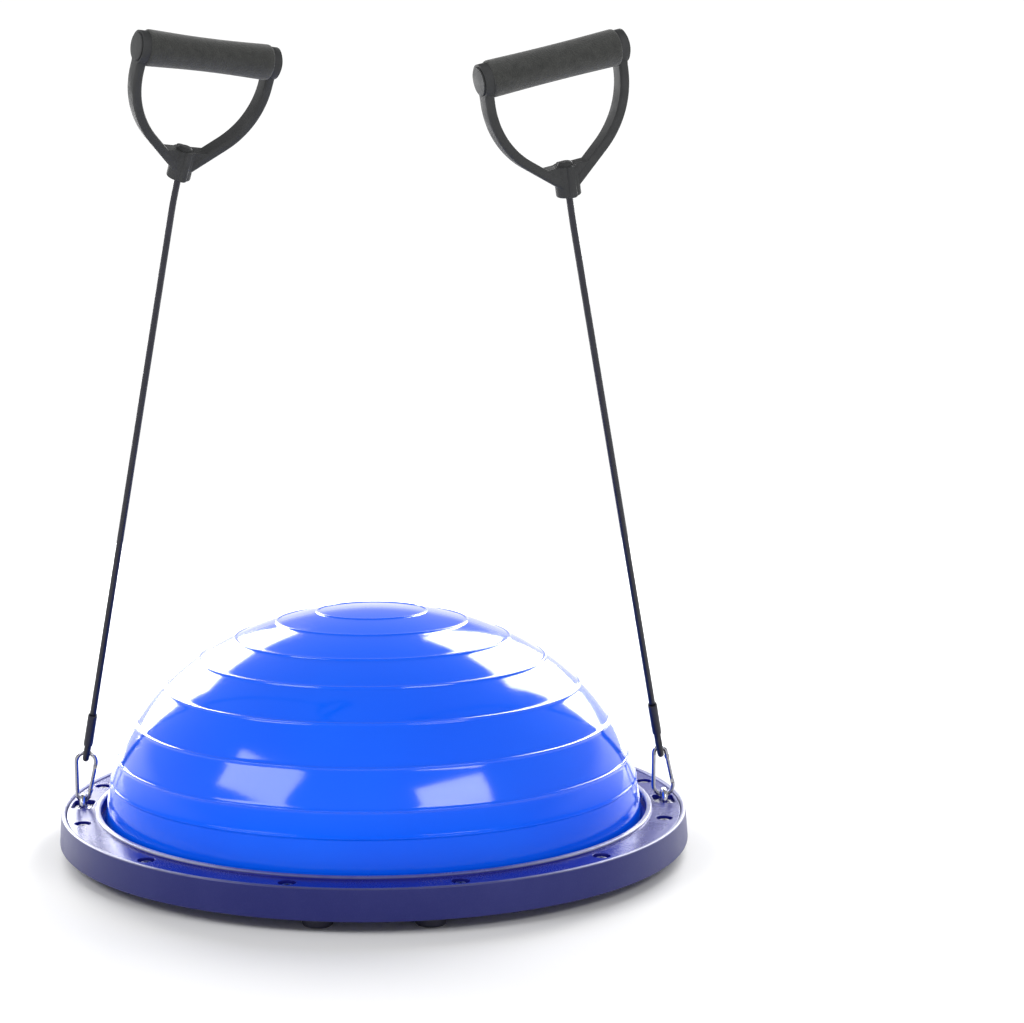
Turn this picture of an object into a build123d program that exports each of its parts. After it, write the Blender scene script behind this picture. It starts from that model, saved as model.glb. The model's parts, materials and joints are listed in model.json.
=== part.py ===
import os
from math import asin, cos, degrees, pi, radians, sin, tan

from build123d import *

os.makedirs("parts", exist_ok=True)

# Balance dome trainer. Z is up, the floor is Z = 0, and the dome's axis is the Z axis.
# The front is -Y, and the two band anchors lie on the X axis.

# Driving dimensions, mm and degrees.
platform_radius = 295.0
skirt_height = 25.5  # from the skirt's lower edge to the clamp ring's top face
skirt_draft = 2.0  # how much the skirt narrows towards its top
foot_clearance = 11.0  # from the floor to the skirt's lower edge
wall_thickness = 4.6
rim_inset = 0.6  # the rim's round crown starts this far below the clamp ring's top
deck_thickness = 4.4
rib_thickness = 4.0
rib_depth = 6.0
rib_count = 12
hoop_rib_radii = (110.0, 190.0, 245.0)

ring_thickness = 9.0
ring_gap = 0.4  # between the clamp ring and the platform's wall
ring_inner_radius = 256.6
lip_radius = 2.6  # the bead round the clamp ring's inner edge
screw_count = 12
screw_circle_radius = 275.3
screw_shank_radius = 1.9
screw_head_radius = 5.2
screw_head_height = 2.8
screw_length = 18.0
screw_round = 1.2
screw_slot_width = 1.2
recess_radius = 7.6
recess_depth = 4.6

dome_radius = 252.0
dome_height = 196.4  # from the flange to the crown
dome_wall = 3.0
dome_neck_radius = 246.5
dome_curve_steps = 6
dome_shoulder = 18.0  # where the neck's curve meets the dome, above the flange's level
flange_radius = 262.0
flange_thickness = 2.4
skin_radius = 286.0
skin_thickness = 1.8
seat_gap = 0.2  # left above and below the dome's flange

foot_pairs = 4
foot_pair_angle = 10.0  # each foot of a pair stands this far from the pair's middle
foot_circle_radius = 268.0
foot_top_radius = 13.8
foot_bottom_radius = 12.4
foot_spigot_radius = 5.0
foot_spigot_length = 4.6
foot_edge_round = 2.0

valve_bore = 4.0
valve_wall = 4.0
valve_flange_radius = 18.0
plug_head_radius = 7.4
plug_head_height = 2.6

anchor_wire_radius = 2.5
anchor_half_width = 8.5
anchor_rise = 8.5  # from the clamp ring's top face to the arch's centre line
pocket_length = 32.0
pocket_width = 20.0
pocket_depth = 5.0
plate_thickness = 1.5
plate_margin = 1.0  # between the plate and its pocket
leg_inset = 1.0  # the U-bolt's legs end this far above the ribs' lower edges
nut_across_flats = 8.0
nut_height = 4.0

clip_length = 50.0  # snap hook, end to end
clip_wire_radius = 1.9
clip_wide_radius = 9.25
clip_narrow_radius = 5.75
clip_nose = 6.0  # straight wire past the narrow bow
nose_collar = 0.5  # how far the nose's thicker end stands out
hinge_gap = 0.45  # left free round the gate's two ends
clip_lean = 6.0  # each hook leans towards the dome
pin_radius = 0.75
tongue_thickness = 1.4

tube_radius = 3.0
tube_reach = 544.7  # from the snap hook's bow to the bend under the handle
bend_below_handle = 12.0
loop_gap = 0.4  # between the loop's tube and the bow's wire
sleeve_length = 31.0
sleeve_wall = 1.6  # at its front and back
sleeve_bottom_wall = 1.44  # at its two sides, where it begins
sleeve_top_wall = 2.0  # at its two sides, where it ends
strand_gap = 0.12  # between the loop's two strands in the sleeve
tail_in_sleeve = 10.0
crossover_rise = 14.0  # from the tail's end to where the tube is back on the band's axis
strand_step = 1.0  # the long strand turns this far past the tail's end
loop_corner_share = 0.98  # the loop's corner radius, as a share of its half width
sleeve_corner_share = 0.45

grip_axis_height = 110.0  # above the handle boss's lower face
grip_half_length = 65.0
eye_radius = 13.5
eye_thickness = 8.0
arm_thickness = 8.0
arm_depth = 16.0
arm_drop = 20.0  # straight part of each arm below the grip
arm_bend_radius = 73.0
arm_bend_angle = 50.0
boss_radius = 10.5
web_top = 26.0
web_bottom = 11.0
boss_floor = 14.0
boss_rib_radius = 3.6
boss_rib_inset = 1.5  # the front and back ribs' axes, in from the boss's surface
boss_round = 1.5
web_inset = 1.0  # the web's faces, in from the arms' edges
stopper_radius = 6.8
stopper_rise = 2.6  # above the web's top
stopper_bore_depth = 8.0
cap_head_radius = 11.6
cap_head_thickness = 1.5
spigot_radius = 7.5
spigot_reach = 7.0
grip_tube_radius = 9.0
foam_radius = 15.0
foam_round = 1.5

slide_fit = 0.1  # radial clearance of a part that turns or slides in another
loose_fit = 0.4  # clearance of a bolt, screw or tube in its hole

# Each band is drawn leaning in towards the dome and forward, as a user holds it.
# "lean" and "handle_lean" are the angles inward and forward, and "yaw" turns the grip.
sides = {
    "left": {
        "sign": -1,
        "wide_bow_up": True,
        "lean": (11.5, 13.6),
        "handle_lean": (17.1, 21.8),
        "yaw": 26.7,
        "loop_twist": 90.0,
        "loop_half_width": 5.3,
        "loop_shoulder": 2.0,
        "sleeve_start": 9.0,
    },
    "right": {
        "sign": 1,
        "wide_bow_up": False,
        "lean": (11.7, 21.5),
        "handle_lean": (9.3, 18.4),
        "yaw": 20.6,
        "loop_twist": 90.0,
        "loop_half_width": 8.5,
        "loop_shoulder": 6.0,
        "sleeve_start": 18.0,
    },
}

# Levels, from the floor up.
skirt_edge = foot_clearance
ring_top = skirt_edge + skirt_height
ring_bottom = ring_top - ring_thickness
flange_top = ring_bottom - seat_gap
flange_bottom = flange_top - flange_thickness
skin_top = flange_bottom - seat_gap
deck_top = skin_top - skin_thickness
deck_bottom = deck_top - deck_thickness
rib_bottom = deck_bottom - rib_depth
pocket_floor = ring_top - pocket_depth
arch_level = ring_top + anchor_rise

rim_inner = platform_radius - skirt_draft - wall_thickness
ring_outer = rim_inner - ring_gap
seat_hole_radius = valve_bore + valve_wall
overlap = 0.5  # how far a rib or boss runs into what it grows from

strand_offset = tube_radius + strand_gap / 2
loop_depth = clip_wire_radius + tube_radius + loop_gap
sleeve_bottom_width = 2 * (strand_offset + tube_radius + sleeve_bottom_wall)
sleeve_top_width = 2 * (tube_radius + sleeve_top_wall)
sleeve_thickness = 2 * (tube_radius + sleeve_wall)


def save(part, name, frame=Plane.XY):
    """Put a piece made in its own frame in place, label it and write it."""
    placed = frame.location * part
    placed.label = name
    export_step(placed, f"parts/{name}.step")


# The platform: a moulded deck with a skirt, a raised rim and ribs underneath.
with BuildPart() as base_platform:
    with BuildSketch(Plane.XZ):
        with BuildLine():
            outer_top = (platform_radius - skirt_draft, ring_top - rim_inset)
            inner_top = (rim_inner, ring_top - rim_inset)
            rim_crown = (rim_inner + wall_thickness / 2, ring_top + wall_thickness / 2 - rim_inset)
            skirt_inner = platform_radius - wall_thickness
            valve_clearance = seat_hole_radius + loose_fit
            Polyline(
                inner_top,
                (rim_inner, deck_top),
                (valve_clearance, deck_top),
                (valve_clearance, deck_bottom),
                (skirt_inner, deck_bottom),
                (skirt_inner, skirt_edge),
                (platform_radius, skirt_edge),
                outer_top,
            )
            ThreePointArc(outer_top, rim_crown, inner_top)
        make_face()
    revolve(axis=Axis.Z)
    rib_start = seat_hole_radius + rib_thickness
    for radius in (rib_start, *hoop_rib_radii):
        with BuildSketch(Plane.XY.offset(rib_bottom)):
            Circle(radius + rib_thickness / 2)
            Circle(radius - rib_thickness / 2, mode=Mode.SUBTRACT)
        extrude(amount=rib_depth + overlap)
    with BuildSketch(Plane.XY.offset(rib_bottom)):
        rib_length = skirt_inner + overlap - rib_start
        with PolarLocations(rib_start + rib_length / 2, rib_count):
            Rectangle(rib_length, rib_thickness)
        with PolarLocations(screw_circle_radius, screw_count, start_angle=180 / screw_count):
            Circle(screw_shank_radius + rib_thickness)
        for pair in range(foot_pairs):
            for offset_angle in (-foot_pair_angle, foot_pair_angle):
                with PolarLocations(foot_circle_radius, 1, start_angle=90 * pair + offset_angle):
                    Circle(foot_spigot_radius + rib_thickness)
    extrude(amount=rib_depth + overlap)
    screw_bottom = ring_top - recess_depth - screw_length
    with BuildSketch(Plane.XY.offset(screw_bottom - loose_fit)):
        with PolarLocations(screw_circle_radius, screw_count, start_angle=180 / screw_count):
            Circle(screw_shank_radius + slide_fit)
    extrude(amount=ring_thickness + screw_length, mode=Mode.SUBTRACT)
    with BuildSketch(Plane.XY.offset(rib_bottom)):
        for pair in range(foot_pairs):
            for offset_angle in (-foot_pair_angle, foot_pair_angle):
                with PolarLocations(foot_circle_radius, 1, start_angle=90 * pair + offset_angle):
                    Circle(foot_spigot_radius + slide_fit)
    extrude(amount=foot_spigot_length + loose_fit, mode=Mode.SUBTRACT)
    with BuildSketch(Plane.XY.offset(rib_bottom)):
        with Locations((-screw_circle_radius, 0), (screw_circle_radius, 0)):
            with GridLocations(0, 2 * anchor_half_width, 1, 2):
                Circle(anchor_wire_radius + loose_fit)
    extrude(amount=rib_depth + deck_thickness, mode=Mode.SUBTRACT)
save(base_platform.part, "base_platform")


def fastener_holes(mode):
    """Clearance holes for the clamp ring's screws and the two anchors."""
    with PolarLocations(screw_circle_radius, screw_count, start_angle=180 / screw_count):
        Circle(screw_shank_radius + loose_fit, mode=mode)
    with Locations((-screw_circle_radius, 0), (screw_circle_radius, 0)):
        with GridLocations(0, 2 * anchor_half_width, 1, 2):
            Circle(anchor_wire_radius + loose_fit, mode=mode)


# The clamp ring holds the dome's flange in a rebate, and has a bead round its inner edge.
with BuildPart() as clamp_ring:
    with BuildSketch(Plane.XZ):
        with BuildLine():
            lip_outer = ring_inner_radius + 2 * lip_radius
            Polyline(
                (ring_inner_radius, ring_top),
                (ring_inner_radius, ring_bottom),
                (flange_radius + loose_fit, ring_bottom),
                (flange_radius + loose_fit, flange_bottom),
                (ring_outer, flange_bottom),
                (ring_outer, ring_top),
                (lip_outer, ring_top),
            )
            lip_crown = (ring_inner_radius + lip_radius, ring_top + lip_radius)
            ThreePointArc((lip_outer, ring_top), lip_crown, (ring_inner_radius, ring_top))
        make_face()
    revolve(axis=Axis.Z)
    with BuildSketch(Plane.XY.offset(ring_top)):
        with PolarLocations(screw_circle_radius, screw_count, start_angle=180 / screw_count):
            Circle(recess_radius)
    extrude(amount=-recess_depth, mode=Mode.SUBTRACT)
    with BuildSketch(Plane.XY.offset(ring_top)):
        with Locations((-screw_circle_radius, 0), (screw_circle_radius, 0)):
            RectangleRounded(pocket_width, pocket_length, pocket_width / 4)
    extrude(amount=-pocket_depth, mode=Mode.SUBTRACT)
    with BuildSketch(Plane.XY.offset(flange_bottom)):
        fastener_holes(Mode.ADD)
    extrude(amount=ring_top - flange_bottom, mode=Mode.SUBTRACT)
save(clamp_ring.part, "clamp_ring")

# Pan-head screws with a cross recess, one under each recess of the clamp ring.
with BuildPart() as ring_screws:
    head_seat = ring_top - recess_depth
    with BuildSketch(Plane.XY.offset(head_seat)):
        with PolarLocations(screw_circle_radius, screw_count, start_angle=180 / screw_count):
            Circle(screw_head_radius)
    extrude(amount=screw_head_height)
    fillet(ring_screws.faces().sort_by(Axis.Z)[-screw_count:].edges(), screw_round)
    with BuildSketch(Plane.XY.offset(head_seat)):
        with PolarLocations(screw_circle_radius, screw_count, start_angle=180 / screw_count):
            Circle(screw_shank_radius)
    extrude(amount=-screw_length)
    with BuildSketch(Plane.XY.offset(head_seat + screw_head_height)):
        with PolarLocations(screw_circle_radius, screw_count, start_angle=180 / screw_count):
            Rectangle(screw_head_radius, screw_slot_width)
            Rectangle(screw_slot_width, screw_head_radius)
    extrude(amount=-screw_head_height / 2, mode=Mode.SUBTRACT)
save(ring_screws.part, "ring_screws")


def dome_curve(radius, height):
    """Quarter of the dome's ellipse, from its shoulder to its crown."""
    start = asin(dome_shoulder / height)
    angles = [start + (pi / 2 - start) * step / dome_curve_steps for step in range(dome_curve_steps + 1)]
    return Spline(
        *[(radius * cos(angle), flange_top + height * sin(angle)) for angle in angles],
        tangents=((-radius * sin(start), height * cos(start)), (-1, 0)),
    )


# The dome: half of an ellipsoid that tucks in to a neck, with a flat flange round it.
with BuildPart() as dome_shell:
    with BuildSketch(Plane.XY.offset(flange_bottom)):
        Circle(flange_radius)
        Circle(dome_neck_radius - dome_wall / 2, mode=Mode.SUBTRACT)
    extrude(amount=flange_thickness)
    with BuildSketch(Plane.XZ):
        with BuildLine():
            outer = dome_curve(dome_radius, dome_height)
            inner = dome_curve(dome_radius - dome_wall, dome_height - dome_wall)
            Line(outer @ 1, inner @ 1)
            TangentArc(outer @ 0, (dome_neck_radius, flange_top), tangent=-(outer % 0))
            Polyline(
                inner @ 0,
                (dome_neck_radius - dome_wall, flange_top),
                (dome_neck_radius - dome_wall, flange_bottom),
                (dome_neck_radius, flange_bottom),
                (dome_neck_radius, flange_top),
            )
        make_face()
    revolve(axis=Axis.Z)
save(dome_shell.part, "dome_shell")

# The flat skin that closes the dome underneath, clamped with the flange.
with BuildPart() as dome_bottom:
    with BuildSketch(Plane.XY.offset(deck_top)):
        Circle(skin_radius)
        Circle(seat_hole_radius + slide_fit, mode=Mode.SUBTRACT)
        fastener_holes(Mode.SUBTRACT)
    extrude(amount=skin_thickness)
save(dome_bottom.part, "dome_bottom")

# The air valve in the middle of the skin: a flanged seat and its push-in plug.
with BuildPart() as valve_seat:
    with BuildSketch(Plane.XY.offset(skin_top)):
        Circle(valve_flange_radius)
    extrude(amount=skin_thickness)
    with BuildSketch(Plane.XY.offset(rib_bottom + plug_head_height)):
        Circle(seat_hole_radius)
    extrude(until=Until.NEXT)
    with BuildSketch(Plane.XY.offset(rib_bottom)):
        Circle(valve_bore)
    extrude(amount=skin_top + 2 * skin_thickness - rib_bottom, mode=Mode.SUBTRACT)
save(valve_seat.part, "valve_seat")

with BuildPart() as valve_plug:
    with BuildSketch(Plane.XY.offset(rib_bottom)):
        Circle(plug_head_radius)
    extrude(amount=plug_head_height)
    fillet(valve_plug.edges().sort_by(Axis.Z)[0], plug_head_height / 3)
    with BuildSketch(Plane.XY.offset(rib_bottom + plug_head_height)):
        Circle(valve_bore - slide_fit)
    extrude(amount=skin_top - rib_bottom - plug_head_height)
save(valve_plug.part, "valve_plug")

# Rubber feet, in pairs under the rim, each with a spigot pushed into a boss.
with BuildPart() as foot:
    with BuildSketch(Plane.XY):
        Circle(foot_bottom_radius)
    with BuildSketch(Plane.XY.offset(rib_bottom)):
        Circle(foot_top_radius)
    loft()
    fillet(foot.edges().sort_by(Axis.Z)[0], foot_edge_round)
    with BuildSketch(Plane.XY.offset(rib_bottom)):
        Circle(foot_spigot_radius)
    extrude(amount=foot_spigot_length)
foot_number = 0
for pair in range(foot_pairs):
    for offset_angle in (-foot_pair_angle, foot_pair_angle):
        foot_number += 1
        angle = radians(90 * pair + offset_angle)
        place = (foot_circle_radius * cos(angle), foot_circle_radius * sin(angle), 0)
        save(foot.part, f"foot_{foot_number}", Plane(origin=place))

# One anchor, made about its own vertical axis: U-bolt, plate and two nuts.
leg_bottom = rib_bottom + leg_inset
with BuildPart() as u_bolt:
    with BuildLine() as u_path:
        straight_top = arch_level - anchor_half_width
        Line((0, -anchor_half_width, leg_bottom), (0, -anchor_half_width, straight_top))
        ThreePointArc(
            (0, -anchor_half_width, straight_top),
            (0, 0, arch_level),
            (0, anchor_half_width, straight_top),
        )
        Line((0, anchor_half_width, straight_top), (0, anchor_half_width, leg_bottom))
    with BuildSketch(Plane((0, -anchor_half_width, leg_bottom))):
        Circle(anchor_wire_radius)
    sweep()

with BuildPart() as anchor_plate:
    with BuildSketch(Plane.XY.offset(pocket_floor)):
        RectangleRounded(
            pocket_width - 2 * plate_margin,
            pocket_length - 2 * plate_margin,
            pocket_width / 4 - plate_margin,
        )
        with GridLocations(0, 2 * anchor_half_width, 1, 2):
            Circle(anchor_wire_radius + slide_fit, mode=Mode.SUBTRACT)
    extrude(amount=plate_thickness)

with BuildPart() as anchor_nuts:
    with BuildSketch(Plane.XY.offset(deck_bottom)):
        with GridLocations(0, 2 * anchor_half_width, 1, 2):
            RegularPolygon(nut_across_flats / 2, 6, major_radius=False)
            Circle(anchor_wire_radius + slide_fit, mode=Mode.SUBTRACT)
    extrude(amount=-nut_height)

# The snap hook lies in its own XZ plane, with the narrow bow's lowest centre line at the
# origin, the spine on the -X side and the sprung gate on the +X side.
bow_span = clip_length - 2 * clip_wire_radius
bow_distance = bow_span - clip_narrow_radius - clip_wide_radius
side_slope = asin((clip_narrow_radius - clip_wide_radius) / bow_distance)
side_normal = Vector(cos(side_slope), 0, sin(side_slope))
side_direction = Vector(-sin(side_slope), 0, cos(side_slope))  # from narrow to wide
narrow_centre = Vector(0, 0, clip_narrow_radius)
wide_centre = Vector(0, 0, bow_span - clip_wide_radius)
narrow_tangent = narrow_centre + side_normal * clip_narrow_radius
wide_tangent = wide_centre + side_normal * clip_wide_radius
nose_tip = narrow_tangent + side_direction * clip_nose
hinge_centre = wide_tangent - side_direction * (clip_wire_radius + 2 * hinge_gap)
wire_end = hinge_centre + side_direction * (clip_wire_radius + hinge_gap)
gate_tip = nose_tip + side_direction * hinge_gap


def mirrored_x(point):
    return Vector(-point.X, point.Y, point.Z)


with BuildPart() as carabiner:
    with BuildLine() as clip_path:
        Line(nose_tip, narrow_tangent)
        ThreePointArc(narrow_tangent, (0, 0, 0), mirrored_x(narrow_tangent))
        Line(mirrored_x(narrow_tangent), mirrored_x(wide_tangent))
        ThreePointArc(mirrored_x(wide_tangent), (0, 0, bow_span), wide_tangent)
        Line(wide_tangent, wire_end)
    with BuildSketch(Plane(nose_tip, z_dir=-side_direction)):
        Circle(clip_wire_radius)
    sweep()
    with BuildSketch(Plane(nose_tip, z_dir=-side_direction)):
        Circle(clip_wire_radius + nose_collar)
    extrude(amount=clip_nose / 2)
    tongue_plane = Plane(hinge_centre, x_dir=side_direction, z_dir=(0, 1, 0))
    with BuildSketch(tongue_plane.offset(-tongue_thickness / 2)):
        Circle(clip_wire_radius)
        with Locations(((clip_wire_radius + 2 * hinge_gap) / 2, 0)):
            Rectangle(clip_wire_radius + 2 * hinge_gap, 2 * clip_wire_radius)
    extrude(amount=tongue_thickness)
    with BuildSketch(tongue_plane.offset(-clip_wire_radius)):
        Circle(pin_radius + slide_fit)
    extrude(amount=2 * clip_wire_radius, mode=Mode.SUBTRACT)

gate_length = (gate_tip - hinge_centre).length
with BuildPart() as gate:
    with BuildSketch(Plane(gate_tip, z_dir=side_direction)):
        Circle(clip_wire_radius - slide_fit)
    extrude(amount=gate_length)
    with BuildSketch(tongue_plane.offset(-clip_wire_radius + slide_fit)):
        Circle(clip_wire_radius - slide_fit)
    extrude(amount=2 * (clip_wire_radius - slide_fit))
    with BuildSketch(tongue_plane.offset(-tongue_thickness / 2 - slide_fit)):
        slot_length = 2 * (clip_wire_radius + hinge_gap)
        Rectangle(slot_length, 4 * clip_wire_radius)
    extrude(amount=tongue_thickness + 2 * slide_fit, mode=Mode.SUBTRACT)
    with BuildSketch(tongue_plane.offset(-clip_wire_radius)):
        Circle(pin_radius + slide_fit / 2)
    extrude(amount=2 * clip_wire_radius, mode=Mode.SUBTRACT)

with BuildPart() as gate_pin:
    with BuildSketch(tongue_plane.offset(-clip_wire_radius)):
        Circle(pin_radius)
    extrude(amount=2 * clip_wire_radius)

# The handle stands on its boss: Z runs up the boss to the grip, and X along the grip.
eye_inner = grip_half_length - cap_head_thickness - eye_thickness
eye_outer = eye_inner + eye_thickness
arm_x = eye_inner + eye_thickness / 2
bend_centre = (arm_x - arm_bend_radius, grip_axis_height - arm_drop)
bend_end = (
    bend_centre[0] + arm_bend_radius * cos(radians(arm_bend_angle)),
    bend_centre[1] - arm_bend_radius * sin(radians(arm_bend_angle)),
)
slope_out = tan(radians(arm_bend_angle))  # sideways run for each unit of drop
boss_entry = boss_radius / 2
arm_foot = (boss_entry, bend_end[1] - (bend_end[0] - boss_entry) / slope_out)

with BuildPart() as handle_frame:
    with BuildLine(Plane.XZ):
        Line((arm_x, grip_axis_height), (arm_x, bend_centre[1]))
        CenterArc(bend_centre, arm_bend_radius, 0, -arm_bend_angle)
        Line(bend_end, arm_foot)
    with BuildSketch(Plane((arm_x, 0, grip_axis_height), x_dir=(1, 0, 0), z_dir=(0, 0, -1))):
        RectangleRounded(arm_thickness, arm_depth, arm_thickness / 3)
    sweep()
    with BuildSketch(Plane.YZ.offset(eye_inner)):
        with Locations((0, grip_axis_height)):
            Circle(eye_radius)
    extrude(amount=eye_thickness)
    mirror(about=Plane.YZ)
    web_half_top = bend_end[0] - (bend_end[1] - web_top) * slope_out
    web_half_bottom = bend_end[0] - (bend_end[1] - web_bottom) * slope_out
    with BuildSketch(Plane.XZ):
        with BuildLine():
            Polyline(
                (-web_half_top, web_top),
                (-web_half_bottom, web_bottom),
                (web_half_bottom, web_bottom),
                (web_half_top, web_top),
                close=True,
            )
        make_face()
    extrude(amount=arm_depth / 2 - web_inset, both=True)
    with BuildSketch(Plane.XY):
        Circle(boss_radius)
        with Locations((0, boss_rib_inset - boss_radius), (0, boss_radius - boss_rib_inset)):
            Circle(boss_rib_radius)
    extrude(amount=web_top)
    fillet(handle_frame.faces().sort_by(Axis.Z)[0].edges(), boss_round)
    with BuildSketch(Plane.XY):
        Circle(tube_radius + loose_fit)
    extrude(amount=web_top, mode=Mode.SUBTRACT)
    with BuildSketch(Plane.XY.offset(boss_floor)):
        Circle(stopper_radius + loose_fit)
    extrude(amount=web_top, mode=Mode.SUBTRACT)
    with BuildSketch(Plane.YZ.offset(-grip_half_length)):
        with Locations((0, grip_axis_height)):
            Circle(spigot_radius + slide_fit / 2)
    extrude(amount=2 * grip_half_length, mode=Mode.SUBTRACT)

# End caps close the eyes, and their spigots are the bearings of the grip's tube.
with BuildPart() as grip_cap:
    with BuildSketch(Plane.YZ.offset(eye_outer)):
        with Locations((0, grip_axis_height)):
            Circle(cap_head_radius)
    extrude(amount=cap_head_thickness)
    fillet(grip_cap.faces().sort_by(Axis.X)[-1].edges(), cap_head_thickness / 2)
    with BuildSketch(Plane.YZ.offset(eye_outer)):
        with Locations((0, grip_axis_height)):
            Circle(spigot_radius)
    extrude(amount=-(eye_thickness + spigot_reach))

tube_half_length = eye_inner - loose_fit
with BuildPart() as grip_tube:
    with BuildSketch(Plane.YZ.offset(-tube_half_length)):
        with Locations((0, grip_axis_height)):
            Circle(grip_tube_radius)
            Circle(spigot_radius + slide_fit, mode=Mode.SUBTRACT)
    extrude(amount=2 * tube_half_length)

foam_half_length = eye_inner - 2 * loose_fit
with BuildPart() as foam_grip:
    with BuildSketch(Plane.YZ.offset(-foam_half_length)):
        with Locations((0, grip_axis_height)):
            Circle(foam_radius)
            Circle(grip_tube_radius + slide_fit, mode=Mode.SUBTRACT)
    extrude(amount=2 * foam_half_length)
    fillet(foam_grip.edges().filter_by(GeomType.CIRCLE).sort_by(SortBy.RADIUS)[-2:], foam_round)

# The stopper on the tube's end, held up inside the boss by the pull of the band.
stopper_floor = boss_floor + loose_fit
with BuildPart() as stopper:
    with BuildSketch(Plane.XY.offset(stopper_floor)):
        Circle(stopper_radius)
    extrude(amount=web_top + stopper_rise - stopper_floor)
    fillet(stopper.faces().sort_by(Axis.Z)[-1].edges(), stopper_radius / 2)
    with BuildSketch(Plane.XY.offset(stopper_floor)):
        Circle(tube_radius + slide_fit / 2)
    extrude(amount=stopper_bore_depth, mode=Mode.SUBTRACT)


def leaning(sign, inward, forward):
    """Unit vector that leans towards the dome and towards the front."""
    return Vector(-sign * tan(radians(inward)), -tan(radians(forward)), 1).normalized()


def across(direction, twist):
    """Unit vector square to a direction, turned from the X axis by a twist."""
    side = (Vector(1, 0, 0) - direction * direction.X).normalized()
    return side * cos(radians(twist)) + direction.cross(side) * sin(radians(twist))


def corner_radii(points, fixed):
    """The largest arc that the runs beside each corner allow, or the one that is fixed."""
    radii = []
    for before, corner, after in zip(points, points[1:], points[2:]):
        run_in, run_out = corner - before, after - corner
        turn_angle = radians(run_in.get_angle(run_out))
        shorter = min(run_in.length, run_out.length)
        radii.append(0.45 * shorter / tan(turn_angle / 2))
    for number, radius in fixed.items():
        radii[number] = radius
    return radii


def tube_solid(points, radii, radius):
    """A round bar along straight runs joined by tangent arcs."""
    with BuildPart() as bar:
        with BuildLine():
            path = FilletPolyline(*points, radius=radii)
        with BuildSketch(Plane(path @ 0, z_dir=path % 0)):
            Circle(radius)
        sweep(path=path)
    return bar.part, path.length


for name, side in sides.items():
    sign = side["sign"]
    anchor = Vector(sign * screw_circle_radius, 0, 0)
    for piece, node in ((u_bolt, "u_bolt"), (anchor_plate, "anchor_plate"), (anchor_nuts, "anchor_nuts")):
        save(piece.part, f"{node}_{name}", Plane(anchor))

    # The hook hangs on the arch, and its other bow carries the band.
    arch = anchor + Vector(0, 0, arch_level)
    clip_up = leaning(sign, clip_lean, 0)
    clip_foot = arch - clip_up * (anchor_wire_radius + clip_wire_radius + slide_fit)
    clip_head = clip_foot + clip_up * bow_span
    clip_across = across(clip_up, 0)
    if side["wide_bow_up"]:
        clip_frame = Plane(clip_foot, x_dir=clip_across, z_dir=clip_up)
    else:
        clip_frame = Plane(clip_head, x_dir=clip_across, z_dir=-clip_up)
    for piece, node in ((carabiner, "carabiner"), (gate, "gate"), (gate_pin, "gate_pin")):
        save(piece.part, f"{node}_{name}", clip_frame)

    # The band's own frame: Z along the pull, X across its loop.
    pull = leaning(sign, *side["lean"])
    band_frame = Plane(clip_head, x_dir=across(pull, side["loop_twist"]), z_dir=pull)
    handle_up = leaning(sign, *side["handle_lean"])
    bend = clip_head + pull * tube_reach
    handle_foot = bend + handle_up * bend_below_handle
    tube_end = handle_foot + handle_up * (stopper_floor + stopper_bore_depth - slide_fit)

    half = side["loop_half_width"]
    start = side["sleeve_start"]
    route = [
        (-strand_offset, 0, start + tail_in_sleeve),
        (-strand_offset, 0, start),
        (-half, 0, side["loop_shoulder"]),
        (-half, 0, -loop_depth),
        (half, 0, -loop_depth),
        (half, 0, side["loop_shoulder"]),
        (strand_offset, 0, start),
        (strand_offset, 0, start + tail_in_sleeve + strand_step),
        (0, 0, start + tail_in_sleeve + crossover_rise),
    ]
    points = [band_frame.from_local_coords(Vector(*point)) for point in route]
    points += [bend, tube_end]
    turns = corner_radii(points, {corner: half * loop_corner_share for corner in (2, 3)})
    band, length = tube_solid(points, turns, tube_radius)
    save(band, f"band_{name}")
    expected = pi * tube_radius**2 * length
    print(f"band_{name}: length {length:.1f} mm, volume {band.volume:.0f} for {expected:.0f},")
    print("  corner radii", [round(radius, 1) for radius in turns])

    sleeve_corner = sleeve_thickness * sleeve_corner_share
    with BuildPart() as band_sleeve:
        with BuildSketch(Plane.XY.offset(start)):
            RectangleRounded(sleeve_bottom_width, sleeve_thickness, sleeve_corner)
        with BuildSketch(Plane.XY.offset(start + sleeve_length)):
            RectangleRounded(sleeve_top_width, sleeve_thickness, sleeve_corner)
        loft()
    hollow, _ = tube_solid(points, turns, tube_radius + slide_fit / 2)
    sleeve = band_frame.location * band_sleeve.part - hollow
    save(sleeve, f"band_sleeve_{name}")

    handle_plane = Plane(handle_foot, x_dir=across(handle_up, side["yaw"]), z_dir=handle_up)
    save(handle_frame.part, f"handle_frame_{name}", handle_plane)
    save(grip_cap.part, f"grip_cap_{name}_a", handle_plane)
    save(grip_cap.part.mirror(Plane.YZ), f"grip_cap_{name}_b", handle_plane)
    save(grip_tube.part, f"grip_tube_{name}", handle_plane)
    save(foam_grip.part, f"foam_grip_{name}", handle_plane)
    save(stopper.part, f"stopper_{name}", handle_plane)
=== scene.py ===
import json
import math

import bmesh
import bpy
from mathutils import Matrix, Vector


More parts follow.
